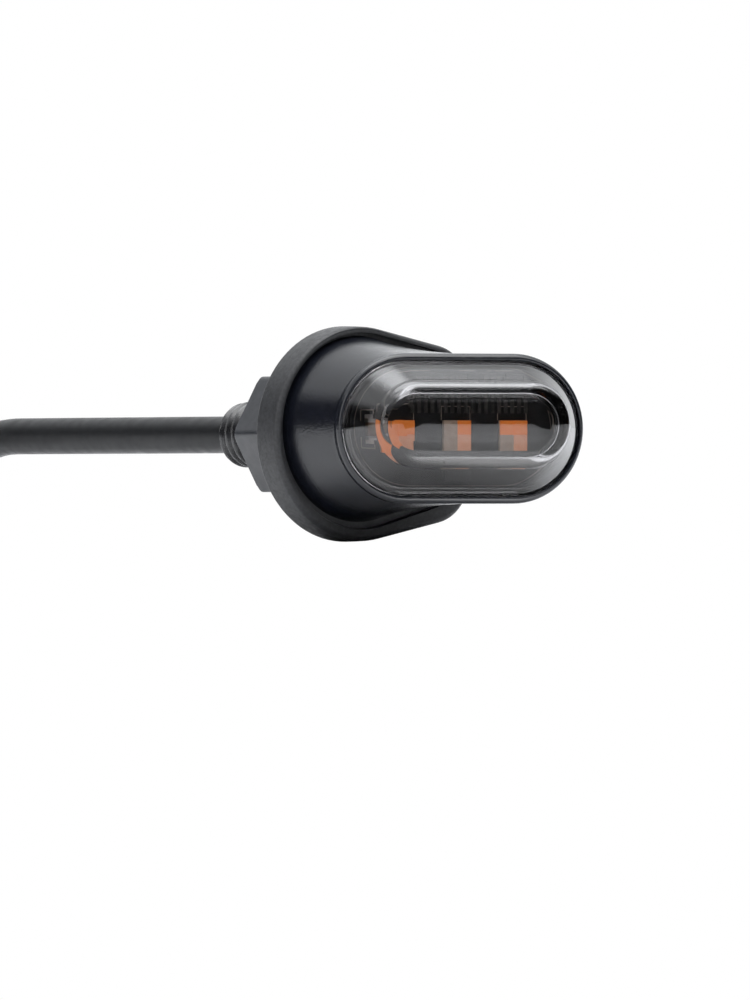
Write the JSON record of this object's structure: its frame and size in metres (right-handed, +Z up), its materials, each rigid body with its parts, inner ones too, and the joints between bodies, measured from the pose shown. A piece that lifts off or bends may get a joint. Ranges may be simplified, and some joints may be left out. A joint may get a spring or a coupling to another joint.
{
  "type": "motorcycle turn signal indicator",
  "caption": "Compact LED turn signal with a smoked obround lens, rubber gasket, hollow threaded stud with nut and washers, and a cable.",
  "frame": {"origin": "on the stud's axis at the back face of the rubber mounting gasket, where the panel's skin sits", "axes": "+Z up; +Y back along the stud, away from the lens; +X towards the outer end of the lens"},
  "size_m": [0.0542, 0.1721, 0.026],
  "materials": {
    "painted_metal_black": "semi-gloss black powder paint on die-cast metal, a fine grain that shows on the rim",
    "smoked_lens": "smoked polycarbonate, smooth and clear enough to see the board through",
    "silicone_seal": "black sealing compound, slightly glossy",
    "circuit_board": "black solder mask with pale printed outlines",
    "led_package": "white moulded LED package",
    "led_window": "amber phosphor window",
    "capacitor_body": "brown ceramic with tinned ends",
    "chip_black": "black moulded chip",
    "potting_resin": "black potting resin",
    "stud_black": "black-oxide steel thread, oiled",
    "lead_red": "red insulation",
    "lead_black": "black insulation",
    "solder": "solder",
    "gasket_rubber": "matte moulded rubber with a fine grain",
    "washer_steel": "zinc-plated steel",
    "nut_black": "satin black-plated steel",
    "cable_jacket": "satin black cable jacket",
    "tie_nylon": "black nylon cable tie",
    "plug_plastic": "black moulded plug",
    "terminal_brass": "tinned brass pin"
  },
  "bodies": {
    "lamp": {"housing": "painted_metal_black", "lens": "smoked_lens", "lens_seal": "silicone_seal", "circuit_board": "circuit_board", "led_left": "led_package", "led_centre": "led_package", "led_right": "led_package", "led_windows": "led_window", "capacitor": "capacitor_body", "protection_diode": "chip_black", "chip_resistors": "chip_black", "driver_chip": "chip_black", "potting": "potting_resin", "stud_seal": "silicone_seal", "hollow_stud": "stud_black", "lead_positive": "lead_red", "lead_negative": "lead_black", "solder_joints": "solder", "mount_gasket": "gasket_rubber", "jacket_end": "cable_jacket", "mouth_seal": "silicone_seal", "cable": "cable_jacket", "cable_coil": "cable_jacket", "cable_tie": "tie_nylon", "plug_boot": "gasket_rubber", "plug_housing": "plug_plastic", "plug_terminals": "terminal_brass"},
    "washers": {"flat_washer": "washer_steel", "spring_washer": "washer_steel"},
    "nut": {"hex_nut": "nut_black"}
  },
  "joints": [
    {"name": "washer_slide", "type": "slide", "parent": "lamp", "child": "washers", "axis": [0, 1, 0], "range_m": [-0.0025, 0.008]},
    {"name": "nut_spin", "type": "hinge", "parent": "washers", "child": "nut", "pos_m": [0, 0, 0], "axis": [0, 1, 0], "range_deg": [-721, 2305]}
  ],
  "couplings": [
    {"joint": "nut_spin", "follows": "washer_slide", "rad_per_m": 5026.5}
  ]
}
